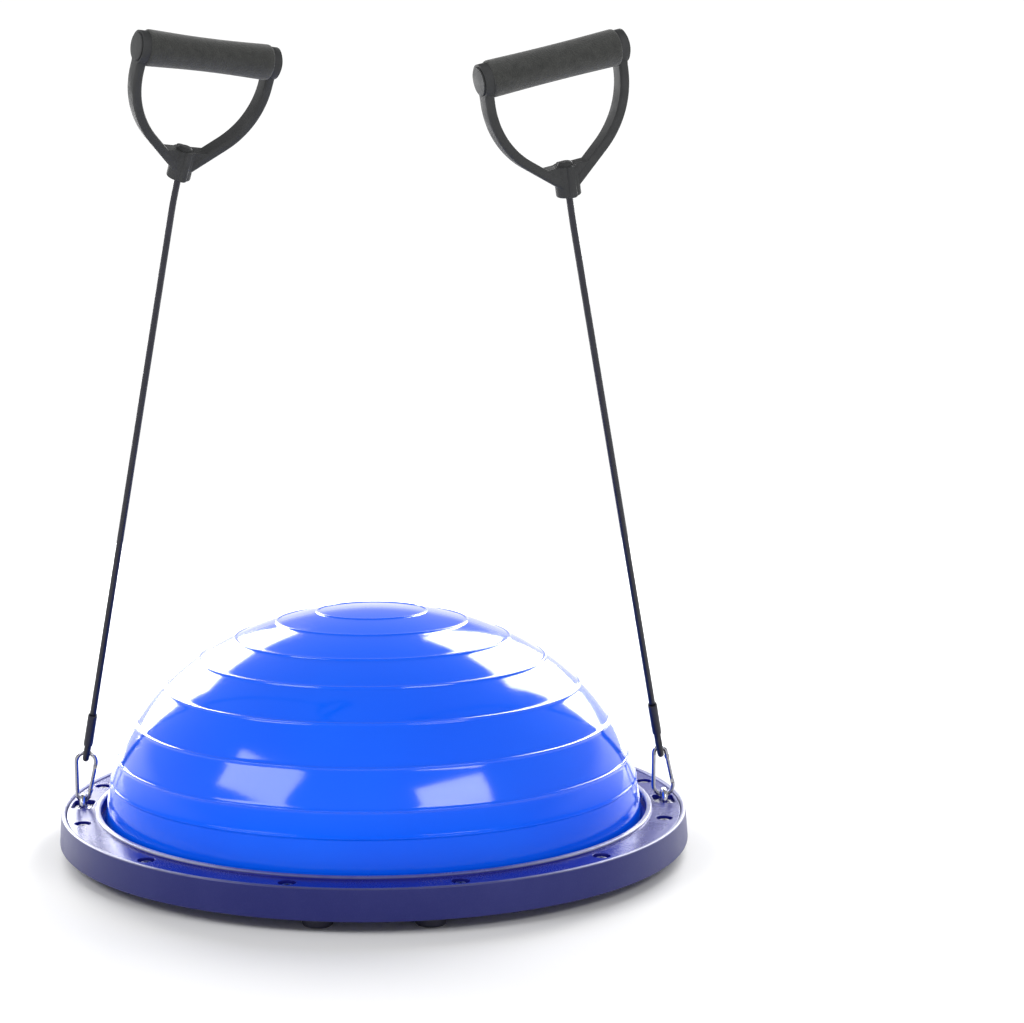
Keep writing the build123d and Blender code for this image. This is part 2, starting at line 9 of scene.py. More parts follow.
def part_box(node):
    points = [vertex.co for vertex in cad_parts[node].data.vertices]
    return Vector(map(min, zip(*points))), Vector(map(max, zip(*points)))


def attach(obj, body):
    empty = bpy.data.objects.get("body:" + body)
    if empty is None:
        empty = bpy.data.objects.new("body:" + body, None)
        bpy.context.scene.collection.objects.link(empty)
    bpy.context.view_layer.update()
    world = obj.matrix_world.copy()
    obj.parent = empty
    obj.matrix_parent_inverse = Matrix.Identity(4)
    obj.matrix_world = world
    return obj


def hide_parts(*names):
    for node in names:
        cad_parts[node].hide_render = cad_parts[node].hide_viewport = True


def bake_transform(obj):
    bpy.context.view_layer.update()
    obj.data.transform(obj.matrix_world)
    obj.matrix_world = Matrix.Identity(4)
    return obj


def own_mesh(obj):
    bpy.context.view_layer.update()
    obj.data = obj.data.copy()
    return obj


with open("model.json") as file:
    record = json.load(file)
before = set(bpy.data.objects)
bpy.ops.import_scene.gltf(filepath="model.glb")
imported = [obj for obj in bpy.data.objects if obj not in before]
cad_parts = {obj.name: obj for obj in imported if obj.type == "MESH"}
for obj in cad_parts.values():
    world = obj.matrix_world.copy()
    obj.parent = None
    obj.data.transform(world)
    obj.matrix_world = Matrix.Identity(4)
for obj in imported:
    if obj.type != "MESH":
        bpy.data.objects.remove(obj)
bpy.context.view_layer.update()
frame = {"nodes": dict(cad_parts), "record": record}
joints = {joint["name"]: joint for joint in frame["record"]["behaviour"]["joints"]}
sides = ("left", "right")
print("frame loaded:", len(frame["nodes"]), "nodes")

cameraSettings = {
    "place": (0.003, -1.910, 0.5197),
    "down": 0.1077,  # radians below level
    "roll": -0.0097,
    "lens": 72.25,
    "sensor": 36.0,
    "shiftX": 0.1348,
}


def addCamera(settings):
    data = bpy.data.cameras.new("camera")
    data.lens = settings["lens"]
    data.sensor_fit = "HORIZONTAL"
    data.sensor_width = settings["sensor"]
    data.shift_x = settings["shiftX"]
    data.clip_start = 0.05
    data.clip_end = 100
    camera = bpy.data.objects.new("camera", data)
    bpy.context.collection.objects.link(camera)
    camera.matrix_world = (
        Matrix.Translation(settings["place"])
        @ Matrix.Rotation(math.pi / 2 - settings["down"], 4, "X")
        @ Matrix.Rotation(settings["roll"], 4, "Z")
    )
    bpy.context.scene.camera = camera


addCamera(cameraSettings)
print("camera set")


class Wire:
    # one output socket that takes part in sums
    def __init__(self, owner, socket):
        self.owner = owner
        self.socket = socket

    def maths(self, operation, first, second):
        return self.owner.node("ShaderNodeMath", {"operation": operation}, {0: first, 1: second})

    def __add__(self, other):
        return self.maths("ADD", self, other)

    def __radd__(self, other):
        return self.maths("ADD", other, self)

    def __sub__(self, other):
        return self.maths("SUBTRACT", self, other)

    def __rsub__(self, other):
        return self.maths("SUBTRACT", other, self)

    def __mul__(self, other):
        return self.maths("MULTIPLY", self, other)

    def __rmul__(self, other):
        return self.maths("MULTIPLY", other, self)

    def __truediv__(self, other):
        return self.maths("DIVIDE", self, other)

    def __pow__(self, other):
        return self.maths("POWER", self, other)

    def between(self, low, high):
        # stretched so that low becomes 0 and high becomes 1, and held there
        reach = {"Value": self, "From Min": low, "From Max": high}
        return self.owner.node("ShaderNodeMapRange", {"clamp": True}, reach)


class NodeTree:
    # a cleared node tree, whose nodes all come from one method
    def __init__(self, tree):
        self.tree = tree
        tree.nodes.clear()

    def join(self, socket, value):
        if isinstance(value, Wire):
            self.tree.links.new(value.socket, socket)
        elif hasattr(value, "__len__") and socket.type == "RGBA" and len(value) == 3:
            socket.default_value = (*value, 1.0)
        else:
            socket.default_value = value

    def node(self, kind, settings=None, inputs=None, output=0):
        made = self.tree.nodes.new(kind)
        for key, value in (settings or {}).items():
            if key == "stops":
                ramp = made.color_ramp
                while len(ramp.elements) < len(value):
                    ramp.elements.new(0.5)
                for element, (position, shade) in zip(ramp.elements, value):
                    element.position = position
                    element.color = (*shade, 1.0)
            else:
                setattr(made, key, value)
        for key, value in (inputs or {}).items():
            self.join(made.inputs[key], value)
        # an output node has nothing to pass on
        return Wire(self, made.outputs[output]) if made.outputs else None


class Finish(NodeTree):
    # a material with one Principled shader
    def __init__(self, name, **values):
        self.material = bpy.data.materials.new(name)
        self.material.use_nodes = True
        super().__init__(self.material.node_tree)
        surface = self.node("ShaderNodeBsdfPrincipled")
        self.shader = surface.socket.node
        self.node("ShaderNodeOutputMaterial", {}, {"Surface": surface})
        self.objectPoint = self.node("ShaderNodeTexCoord", output="Object")
        self.set(**values)

    def set(self, **values):
        # baseColor="..." goes to the shader's "Base Color" socket, and so on
        for key, value in values.items():
            spaced = "".join(" " + letter if letter.isupper() else letter for letter in key)
            label = spaced.title().replace("I O R", "IOR")
            self.join(self.shader.inputs[label], value)
        return self

    def noise(self, scale, detail=3.0, rough=0.5, point=None):
        where = {"Vector": point or self.objectPoint, "Scale": scale}
        grain = {"Detail": detail, "Roughness": rough}
        return self.node("ShaderNodeTexNoise", {"noise_dimensions": "3D"}, {**where, **grain})

    def cells(self, scale, feature="F1"):
        where = {"Vector": self.objectPoint, "Scale": scale}
        return self.node("ShaderNodeTexVoronoi", {"feature": feature}, where, "Distance")

    def mix(self, factor, first, second):
        # sockets 6 and 7 take the two colours, and output 2 is the mixed one
        inputs = {0: factor, 6: first, 7: second}
        return self.node("ShaderNodeMix", {"data_type": "RGBA"}, inputs, 2)

    def bump(self, height, depth, strength=1.0, normal=None):
        inputs = {"Height": height, "Distance": depth, "Strength": strength}
        if normal:
            inputs["Normal"] = normal
        return self.node("ShaderNodeBump", {}, inputs)

    def coordinate(self, axis):
        return self.node("ShaderNodeSeparateXYZ", {}, {0: self.objectPoint}, axis)


domeLook = {
    "blue": (0.0015, 0.120, 1.0),
    "deepBlue": (0.001, 0.070, 0.88),
    "roughness": 0.09,
    "ripple": 0.0005,  # metres
    "glossFrom": (0.0675, 0.0915),  # the polish fades out below these two heights
}


def domeVinyl(look):
    made = Finish("domeVinyl", coatRoughness=0.10, specularIORLevel=0.12)
    polish = made.coordinate(2).between(*look["glossFrom"])
    made.set(coatWeight=0.12 + 0.70 * polish)
    cloud = made.noise(7.0, 2.0)
    deep = cloud.between(0.35, 0.75) * 0.35
    made.set(baseColor=made.mix(deep, look["blue"], look["deepBlue"]))
    smear = made.noise(28.0, 4.0, 0.6)
    made.set(roughness=look["roughness"] + 0.10 * smear.between(0.45, 0.8))
    slow = made.bump(made.noise(16.0, 1.0), look["ripple"], 0.7)
    made.set(normal=made.bump(made.noise(420.0, 2.0), 0.00004, 0.5, slow))
    return made.material


platformLook = {
    "navy": (0.017, 0.018, 0.110),
    "worn": (0.052, 0.055, 0.190),
    "ringBlue": (0.009, 0.012, 0.240),
    "ringShare": 0.75,
    # pale colour painted along the bead crowns as a highlight
    "paintedHighlight": (0.62, 0.62, 0.70),
    "highlightFrom": (0.10, 0.19),  # the painted highlight on the beads is brightest beyond these distances to each side
    "ringTop": 0.0365,
    "ringReach": 0.2882,  # the clamp ring lies inside this radius, the platform's rim outside it
    "lipReach": 0.268,  # the clamp ring's bead lies inside this radius
    "grain": 780.0,
    "grainDepth": 0.00012,
}


def platformPlastic(look):
    made = Finish("mouldedPlatform", specularIORLevel=0.55, specularTint=(0.32, 0.38, 1.0))
    patch = made.noise(9.0, 4.0, 0.6).between(0.40, 0.72)
    speckle = made.noise(900.0, 2.0, 0.7).between(0.50, 0.78)
    shade = made.mix(patch * 0.30 + speckle * 0.20, look["navy"], look["worn"])
    # both beads get a pale painted highlight along their crowns, brightest towards the two
    # anchors at the sides
    x, y, z = (made.coordinate(axis) for axis in range(3))
    radius = (x * x + y * y) ** 0.5
    crown = z.between(look["ringTop"] + 0.0004, look["ringTop"] + 0.0016)
    inside = 1.0 - radius.between(look["lipReach"] - 0.001, look["lipReach"])
    rim = radius.between(look["ringReach"] - 0.0002, look["ringReach"] + 0.0002)
    # the painted highlight grows towards each side, where the beads catch the lamps
    sideHighlight = ((x * x) ** 0.5).between(*look["highlightFrom"])
    uneven = 0.75 + 0.25 * made.noise(40.0, 4.0).between(0.35, 0.6)
    # painted highlight mask: the crowns, stronger on the inner bead, with a little noise
    highlightMask = crown * (0.42 + 0.36 * inside) * uneven
    highlightMask = highlightMask * (0.22 + 0.78 * sideHighlight)
    shade = made.mix((1.0 - rim) * look["ringShare"], shade, look["ringBlue"])
    made.set(baseColor=made.mix(highlightMask, shade, look["paintedHighlight"]))
    made.set(roughness=0.20 + 0.10 * rim + 0.14 * patch + 0.07 * speckle)
    leather = made.cells(look["grain"], "SMOOTH_F1")
    relief = leather + 0.5 * made.noise(1500.0, 2.0)
    made.set(normal=made.bump(relief, look["grainDepth"], 0.4))
    return made.material


rubberLook = {
    "foot": (0.018, 0.018, 0.038),
    "band": (0.0065, 0.0065, 0.014),
    "sleeve": (0.010, 0.0095, 0.020),
}


def rubber(name, shade, roughness, wrinkle, depth):
    made = Finish(name)
    dust = made.noise(60.0, 5.0, 0.65).between(0.45, 0.85)
    lighter = tuple(0.03 + 2.2 * value for value in shade)
    made.set(baseColor=made.mix(dust * 0.35, shade, lighter))
    made.set(roughness=roughness + 0.18 * dust)
    fine = made.noise(wrinkle, 3.0, 0.6)
    made.set(normal=made.bump(fine, depth, 0.6))
    return made.material


def steel(name, shade, roughness, brush):
    made = Finish(name, metallic=1.0)
    tarnish = made.noise(120.0, 4.0, 0.6).between(0.42, 0.8)
    dull = tuple(0.45 * value for value in shade)
    made.set(baseColor=made.mix(tarnish * 0.45, shade, dull))
    made.set(roughness=roughness + 0.22 * tarnish)
    along = {"Vector": made.objectPoint, "Scale": (1.0, 1.0, 0.12)}
    stretch = made.node("ShaderNodeMapping", {"vector_type": "POINT"}, along)
    made.set(normal=made.bump(made.noise(brush, 2.0, 0.5, stretch), 0.00003, 0.5))
    return made.material


handleLook = {
    "charcoal": (0.038, 0.039, 0.040),
    "scuffed": (0.085, 0.085, 0.088),
    "grain": 1300.0,
}


def handlePlastic(look):
    made = Finish("handlePlastic", specularIORLevel=0.15)
    patch = made.noise(70.0, 4.0, 0.6).between(0.45, 0.8)
    speckle = made.noise(1400.0, 2.0, 0.6).between(0.5, 0.8)
    scuffs = patch * 0.30 + speckle * 0.15
    made.set(baseColor=made.mix(scuffs, look["charcoal"], look["scuffed"]))
    made.set(roughness=0.60 + 0.16 * patch + 0.06 * speckle)
    made.set(normal=made.bump(made.noise(look["grain"], 3.0), 0.00010, 0.55))
    return made.material


foamLook = {
    "dark": (0.011, 0.012, 0.011),
    "light": (0.047, 0.048, 0.045),
    "cells": 900.0,
}


def gripFoam(look):
    made = Finish("gripFoam", sheenWeight=0.25, sheenRoughness=0.6, specularIORLevel=0.25)
    pores = made.cells(look["cells"])
    mottle = made.noise(160.0, 5.0, 0.65).between(0.35, 0.75)
    made.set(baseColor=made.mix(0.55 * mottle + 0.45 * pores, look["dark"], look["light"]))
    made.set(roughness=0.88 + 0.10 * mottle)
    soft = made.bump(made.noise(150.0, 4.0, 0.6), 0.0005, 0.5)
    made.set(normal=made.bump(pores, 0.0004, 0.7, soft))
    return made.material


def valveVinyl():
    made = Finish("valveVinyl")
    stain = made.noise(200.0, 4.0).between(0.4, 0.8)
    made.set(baseColor=made.mix(stain * 0.4, (0.72, 0.72, 0.69), (0.50, 0.50, 0.46)))
    made.set(roughness=0.38 + 0.2 * stain)
    made.set(normal=made.bump(made.noise(800.0), 0.00005, 0.5))
    return made.material


finishes = {
    "moulded_platform": platformPlastic(platformLook),
    "dome_vinyl": domeVinyl(domeLook),
    "screw_steel": steel("screwSteel", (0.30, 0.30, 0.34), 0.28, 900.0),
    "valve_vinyl": valveVinyl(),
    "foot_rubber": rubber("footRubber", rubberLook["foot"], 0.62, 900.0, 0.0001),
    "anchor_steel": steel("anchorSteel", (0.66, 0.66, 0.70), 0.18, 700.0),
    "hook_steel": steel("hookSteel", (0.36, 0.36, 0.40), 0.16, 900.0),
    "band_rubber": rubber("bandRubber", rubberLook["band"], 0.42, 500.0, 0.00012),
    "sleeve_rubber": rubber("sleeveRubber", rubberLook["sleeve"], 0.46, 420.0, 0.00035),
    "handle_plastic": handlePlastic(handleLook),
    "grip_tube_plastic": handlePlastic(handleLook),
    "grip_foam": gripFoam(foamLook),
}


for part in frame["record"]["subparts"]:
    cadObject = frame["nodes"][part["node"]]
    for place in cadObject.material_slots:
        place.material = finishes[part["material_slot"]]
    if not cadObject.material_slots:
        cadObject.data.materials.append(finishes[part["material_slot"]])
print("finishes made:", len(finishes))


def addPiece(name, mesh, slotName, body):
    # puts a finished mesh in the scene, riding on its body
    piece = bpy.data.objects.new(name, mesh)
    bpy.context.collection.objects.link(piece)
    for polygon in mesh.polygons:
        polygon.use_smooth = True
    mesh.materials.clear()
    mesh.materials.append(finishes[slotName])
    if body:
        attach(piece, body)
    return piece


def meshFrom(name, shape, recalculate=True):
    if recalculate:
        bmesh.ops.recalc_face_normals(shape, faces=shape.faces[:])
    mesh = bpy.data.meshes.new(name)
    shape.to_mesh(mesh)
    shape.free()
    return mesh


spinWeld = 0.000001  # metres


def spun(profile, steps, closed=False):
    # turns a line of (radius, height) points about Z
    shape = bmesh.new()
    corners = [shape.verts.new((radius, 0, height)) for radius, height in profile]
    edges = [shape.edges.new(pair) for pair in zip(corners, corners[1:])]
    if closed:
        edges.append(shape.edges.new((corners[-1], corners[0])))
    bmesh.ops.spin(
        shape,
        geom=corners + edges,
        cent=(0, 0, 0),
        axis=(0, 0, 1),
        angle=2 * math.pi,
        steps=steps,
        use_merge=True,
        use_duplicate=False,
    )
    bmesh.ops.remove_doubles(shape, verts=shape.verts[:], dist=spinWeld)
    return shape


def finishWith(piece, kind, **settings):
    modifier = piece.modifiers.new(kind.title(), kind)
    for key, value in settings.items():
        setattr(modifier, key, value)
    return modifier


def placeAlong(origin, direction, side):
    # a frame with Z along direction and X towards side
    up = Vector(direction).normalized()
    flat = (Vector(side) - up * up.dot(Vector(side))).normalized()
    turn = Matrix((flat, up.cross(flat), up)).transposed().to_4x4()
    return Matrix.Translation(origin) @ turn


def acrossOf(direction, twist):
    up = Vector(direction)
    side = (Vector((1, 0, 0)) - up * up.x).normalized()
    return side * math.cos(twist) + up.cross(side) * math.sin(twist)


edgeRounds = {
    "handle_frame_left": 0.0009,
    "handle_frame_right": 0.0009,
    "grip_cap_left_a": 0.0003,
    "grip_cap_left_b": 0.0003,
    "grip_cap_right_a": 0.0003,
    "grip_cap_right_b": 0.0003,
    "stopper_left": 0.0003,
    "stopper_right": 0.0003,
    "anchor_plate_left": 0.0003,
    "anchor_plate_right": 0.0003,
    "anchor_nuts_left": 0.0004,
    "anchor_nuts_right": 0.0004,
}
softening = {
    "weld": 0.000002,  # metres
    "flatWithin": 0.5,  # degrees
    "roundAbove": 35,
    "sharpAbove": 32,
    "segments": 2,
}
bodies = frame["record"]["behaviour"]["bodies"]
bodyOf = {node: body for body, nodes in bodies.items() for node in nodes}
slotOf = {part["node"]: part["material_slot"] for part in frame["record"]["subparts"]}


def softened(node, width):
    # a copy of the CAD part with its flats made whole and its sharp edges rounded
    own = softening
    shape = bmesh.new()
    shape.from_mesh(frame["nodes"][node].data)
    bmesh.ops.remove_doubles(shape, verts=shape.verts[:], dist=own["weld"])
    flat = math.radians(own["flatWithin"])
    bmesh.ops.dissolve_limit(shape, angle_limit=flat, verts=shape.verts[:], edges=shape.edges[:])
    turned = math.radians(own["roundAbove"])
    closed = [edge for edge in shape.edges if edge.is_manifold]
    sharp = [edge for edge in closed if edge.calc_face_angle() > turned]
    bmesh.ops.bevel(
        shape,
        geom=sharp,
        offset=width,
        offset_type="OFFSET",
        affect="EDGES",
        segments=own["segments"],
        profile=0.5,
        material=-1,
        clamp_overlap=True,
    )
    bmesh.ops.triangulate(shape, faces=[face for face in shape.faces if len(face.verts) > 4])
    mesh = meshFrom(node, shape, recalculate=False)
    piece = addPiece(node + "_soft", mesh, slotOf[node], bodyOf[node])
    piece.data.set_sharp_from_angle(angle=math.radians(own["sharpAbove"]))
    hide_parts(node)


for node, width in edgeRounds.items():
    softened(node, width)
print("edges rounded:", len(edgeRounds))

flatMargin = 1.5  # how far past each arc the flat beside it gets a point, in reaches


def rounded(corners, closed=False, segments=5):
    # a line of (across, up, reach) whose corners become arcs that start at that reach
    line = []
    for index, (across, up, reach) in enumerate(corners):
        here = Vector((across, up))
        if reach == 0 or (not closed and index in (0, len(corners) - 1)):
            line.append(here)
            continue
        before = (Vector(corners[index - 1][:2]) - here).normalized()
        after = (Vector(corners[(index + 1) % len(corners)][:2]) - here).normalized()
        weight = math.sqrt(max(0.0, (1 - before.dot(after)) / 2))
        # one more point past each end of the arc keeps the flats beside it flat
        line.append(here + before * reach * flatMargin)
        for step in range(segments + 1):
            share = step / segments
            first, middle, last = (1 - share) ** 2, 2 * weight * share * (1 - share), share**2
            pull = before * reach * first + after * reach * last
            line.append(here + pull / (first + middle + last))
        line.append(here + after * reach * flatMargin)
    return line


platformShape = {
    "skirtRadius": 0.295,
    "draft": 0.002,
    "wall": 0.0046,
    "skirtEdge": 0.0110,
    "rimTop": 0.0382,
    "deckTop": 0.0229,
    "deckBottom": 0.0185,
    "ribBottom": 0.0125,
    "ribThickness": 0.004,
    "valveHole": 0.0084,
    "hoops": (0.012, 0.110, 0.190, 0.245),
    "spokes": 12,
    # (circle, first angle, count, outer radius, bore): the screws' and the feet's
    "bosses": (
        (0.2753, 15, 12, 0.0059, 0.0020),
        (0.268, -10, 4, 0.0090, 0.0051),
        (0.268, 10, 4, 0.0090, 0.0051),
    ),
    "bossSteps": 32,
    "bossRoot": 0.0005,  # how far a boss runs into the deck
    "proud": 0.0001,  # spokes end this far above the hoops' edges, and bosses below them
    "deckRound": 0.0005,
    "hoopRound": 0.0006,
    "skirtRound": 0.0010,
    "edgeRound": 0.0008,
    "sharpAbove": 40,  # degrees
    "steps": 192,
}


def addPlatform():
    own = platformShape
    outside, inside = own["skirtRadius"], own["skirtRadius"] - own["wall"]
    rimOut = outside - own["draft"]
    rimIn = rimOut - own["wall"]
    half = own["ribThickness"] / 2
    # each arc and its margin take up half of the rim's thickness
    crown = own["wall"] / 2 / flatMargin
    deck, low = own["deckBottom"], own["ribBottom"]
    under = []
    for hoop in own["hoops"]:
        for across, up in ((-half, deck), (-half, low), (half, low), (half, deck)):
            under.append((hoop + across, up, own["hoopRound"]))
    corners = [
        (rimIn, own["rimTop"], crown),
        (rimIn, own["deckTop"], own["deckRound"]),
        (own["valveHole"], own["deckTop"], own["deckRound"]),
        (own["valveHole"], deck, 0),
        *under,
        (inside, deck, own["skirtRound"]),
        (inside, own["skirtEdge"], own["edgeRound"]),
        (outside, own["skirtEdge"], own["skirtRound"]),
        (rimOut, own["rimTop"], crown),
    ]
    shape = spun(rounded(corners, closed=True), own["steps"], closed=True)
    height = deck - low
    start = own["hoops"][0]
    length = inside - start
    middle = (start + length / 2, 0, low + height / 2 + own["proud"])
    for number in range(own["spokes"]):
        rib = bmesh.ops.create_cube(shape, size=1.0)["verts"]
        bmesh.ops.scale(shape, vec=(length, own["ribThickness"], height), verts=rib)
        bmesh.ops.translate(shape, vec=middle, verts=rib)
        turn = Matrix.Rotation(2 * math.pi * number / own["spokes"], 3, "Z")
        bmesh.ops.rotate(shape, cent=(0, 0, 0), matrix=turn, verts=rib)
    low, high = low - own["proud"], deck + own["bossRoot"]
    for circle, first, count, reach, bore in own["bosses"]:
        for number in range(count):
            angle = math.radians(first) + 2 * math.pi * number / count
            section = [(reach, low, own["deckRound"]), (reach, high, 0)]
            section += [(bore, high, 0), (bore, low, own["deckRound"])]
            line = rounded(section, closed=True, segments=2)
            tube = spun(line, own["bossSteps"], closed=True)
            place = Vector((circle * math.cos(angle), circle * math.sin(angle), 0))
            bmesh.ops.translate(tube, vec=place, verts=tube.verts[:])
            mesh = meshFrom("boss", tube)
            shape.from_mesh(mesh)
            bpy.data.meshes.remove(mesh)
    piece = addPiece("platform", meshFrom("platform", shape), "moulded_platform", "base")
    piece.data.set_sharp_from_angle(angle=math.radians(own["sharpAbove"]))
    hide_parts("base_platform")


ringShape = {
    "inner": 0.2566,
    "outer": 0.2880,
    "top": 0.0365,
    "beadTop": 0.0391,
    "beadOuter": 0.2618,
    "beadRound": 0.0013,
    "flange": 0.2624,
    "bottom": 0.0275,
    "rebate": 0.0249,
    "steps": 192,
    "circle": 0.2753,
    "edge": 0.0004,
    "weld": 0.000002,
    "sharpAbove": 40,  # degrees
    "screws": {"count": 12, "radius": 0.0076, "depth": 0.0046},
    "pocket": {"halfWidth": 0.010, "halfLength": 0.016, "corner": 0.005, "depth": 0.005},
}


def sink(shape, centre, halves, corner, depth, top, edge, turns=12):
    # a round-cornered recess in a flat face, with a floor
    halfX, halfY = halves
    section = [(-2 * edge, 0, 0), (0, 0, edge), (0, -depth, edge), (3 * edge, -depth, 0)]
    loops = []
    for inset, drop in rounded(section, segments=3):
        loop = []
        for quarter, (signX, signY) in enumerate(((1, 1), (-1, 1), (-1, -1), (1, -1))):
            for step in range(turns + 1):
                angle = math.pi / 2 * (quarter + step / turns)
                x = centre[0] + signX * (halfX - corner) + (corner - inset) * math.cos(angle)
                y = centre[1] + signY * (halfY - corner) + (corner - inset) * math.sin(angle)
                loop.append(shape.verts.new((x, y, top + drop)))
        loops.append(loop)
    for upper, lower in zip(loops, loops[1:]):
        for index in range(len(upper)):
            shape.faces.new((upper[index - 1], upper[index], lower[index], lower[index - 1]))
    shape.faces.new(loops[-1])


def addRing():
    own = ringShape
    top, bottom, edge = own["top"], own["bottom"], own["edge"]
    corners = [
        (own["beadOuter"] + 3 * edge, top, 0),
        (own["beadOuter"], top, edge),
        (own["beadOuter"], own["beadTop"], own["beadRound"]),
        (own["inner"], own["beadTop"], own["beadRound"]),
        (own["inner"], bottom, edge),
        (own["flange"], bottom, 0),
        (own["flange"], own["rebate"], 0),
        (own["outer"], own["rebate"], edge),
        (own["outer"], top, edge),
        (own["outer"] - 3 * edge, top, 0),
    ]
    shape = spun(rounded(corners), own["steps"])
    screws, pocket = own["screws"], own["pocket"]
    for number in range(screws["count"]):
        angle = 2 * math.pi * (number + 0.5) / screws["count"]
        centre = (own["circle"] * math.cos(angle), own["circle"] * math.sin(angle))
        reach = screws["radius"]
        sink(shape, centre, (reach, reach), reach, screws["depth"], top, edge)
    for sign in (-1, 1):
        centre = (sign * own["circle"], 0)
        halves = (pocket["halfWidth"], pocket["halfLength"])
        sink(shape, centre, halves, pocket["corner"], pocket["depth"], top, edge)
    bmesh.ops.remove_doubles(shape, verts=shape.verts[:], dist=own["weld"])
    # the flat top is filled between the two beads and round every recess
    rims = [line for line in shape.edges if line.is_boundary]
    bmesh.ops.triangle_fill(shape, use_beauty=True, edges=rims, normal=(0, 0, 1))
    piece = addPiece("ring", meshFrom("ring", shape), "moulded_platform", "base")
    piece.data.set_sharp_from_angle(angle=math.radians(own["sharpAbove"]))
    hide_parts("clamp_ring")


addPlatform()
addRing()
print("platform and ring made")

bandSettings = {
    "radius": 0.003,
    "loopDepth": 0.0053,
    "strandOffset": 0.00306,
    "tail": 0.010,
    "strandStep": 0.001,
    "crossover": 0.014,
    "straightBelowBend": 0.036,
    "bendBelowHandle": 0.012,
    "endInHandle": 0.0223,
    "stillBelow": 0.060,  # a length along the tube from the hook, reaching past its sleeve
    "twist": 90,  # degrees
    "left": {"halfWidth": 0.0053, "shoulder": 0.002, "sleeveStart": 0.009, "length": 0.620},
    "right": {"halfWidth": 0.0085, "shoulder": 0.006, "sleeveStart": 0.018, "length": 0.638},
}


def bandRoute(side):
    # the route in the object's frame, from the short end in the sleeve to the stopper
    both, own = bandSettings, bandSettings[side]
    half, start, shoulder = own["halfWidth"], own["sleeveStart"], own["shoulder"]
    strand, depth, end = both["strandOffset"], both["loopDepth"], start + both["tail"]
    pull = Vector(joints[f"band_stretch_{side}"]["axis"])
    head = Vector(joints[f"band_swing_{side}"]["pos_m"])
    handleUp = Vector(joints[f"handle_swivel_{side}"]["axis"])
    handleFoot = Vector(joints[f"handle_swivel_{side}"]["pos_m"])
    place = placeAlong(head, pull, acrossOf(pull, math.radians(both["twist"])))
    local = [
        (-strand, 0, end),
        (-strand, 0, start),
        (-half, 0, shoulder),
        (-half, 0, -depth),
        (half, 0, -depth),
        (half, 0, shoulder),
        (strand, 0, start),
        (strand, 0, end + both["strandStep"]),
        (0, 0, end + both["crossover"]),
    ]
    route = [place @ Vector(point) for point in local]
    bend = handleFoot - handleUp * both["bendBelowHandle"]
    # a point near the bend, because the tube is pulled straight up to it
    route.append(bend - pull * both["straightBelowBend"])
    route.append(bend)
    route.append(handleFoot + handleUp * both["endInHandle"])
    return route, place


def smoothLine(name, points, bevel=0.0):
    data = bpy.data.curves.new(name, "CURVE")
    data.dimensions = "3D"
    data.resolution_u = 12
    data.bevel_depth = bevel
    data.bevel_resolution = 5
    data.use_fill_caps = bevel > 0
    spline = data.splines.new("NURBS")
    spline.points.add(len(points) - 1)
    for place, point in zip(spline.points, points):
        place.co = (*point, 1.0)
    spline.order_u = 3
    spline.use_endpoint_u = True
    carrier = bpy.data.objects.new(name, data)
    bpy.context.collection.objects.link(carrier)
    bpy.context.view_layer.update()
    mesh = bpy.data.meshes.new_from_object(carrier)
    bpy.data.objects.remove(carrier)
    bpy.data.curves.remove(data)
    return mesh


bandPlaces = {}
for side in sides:
    route, bandPlaces[side] = bandRoute(side)
    lineMesh = smoothLine("bandLine", route)
    bpy.data.meshes.remove(lineMesh)
    tubeMesh = smoothLine("bandTube", route, bandSettings["radius"])
    tube = addPiece(f"bandTube_{side}", tubeMesh, "band_rubber", None)
    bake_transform(tube)
    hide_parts(f"band_{side}")
print("bands laid")

sleeveSettings = {
    "length": 0.031,
    "thickness": 0.0092,
    # (share of the length, width) from the loop up
    "stations": (
        (0.0, 0.0146),
        (0.05, 0.0150),
        (0.32, 0.0138),
        (0.66, 0.0114),
        (0.95, 0.0101),
        (1.0, 0.0095),
    ),
    "segments": 28,
    "squareness": 0.72,  # below 1 is flatter sides than a true ellipse
    "mouthShare": 0.94,  # its mouth's thickness
    "turnIn": 0.0016,
    "mouth": (0.80, 0.72),  # how far it closes on the tube, at the loop and at the top
    "innerMouth": 0.9,
}


def grownFrom(shape, edges):
    # extrudes a loop of edges, and gives the new loop's corners and edges
    grown = bmesh.ops.extrude_edge_only(shape, edges=edges)["geom"]
    verts = [item for item in grown if isinstance(item, bmesh.types.BMVert)]
    return verts, [item for item in grown if isinstance(item, bmesh.types.BMEdge)]


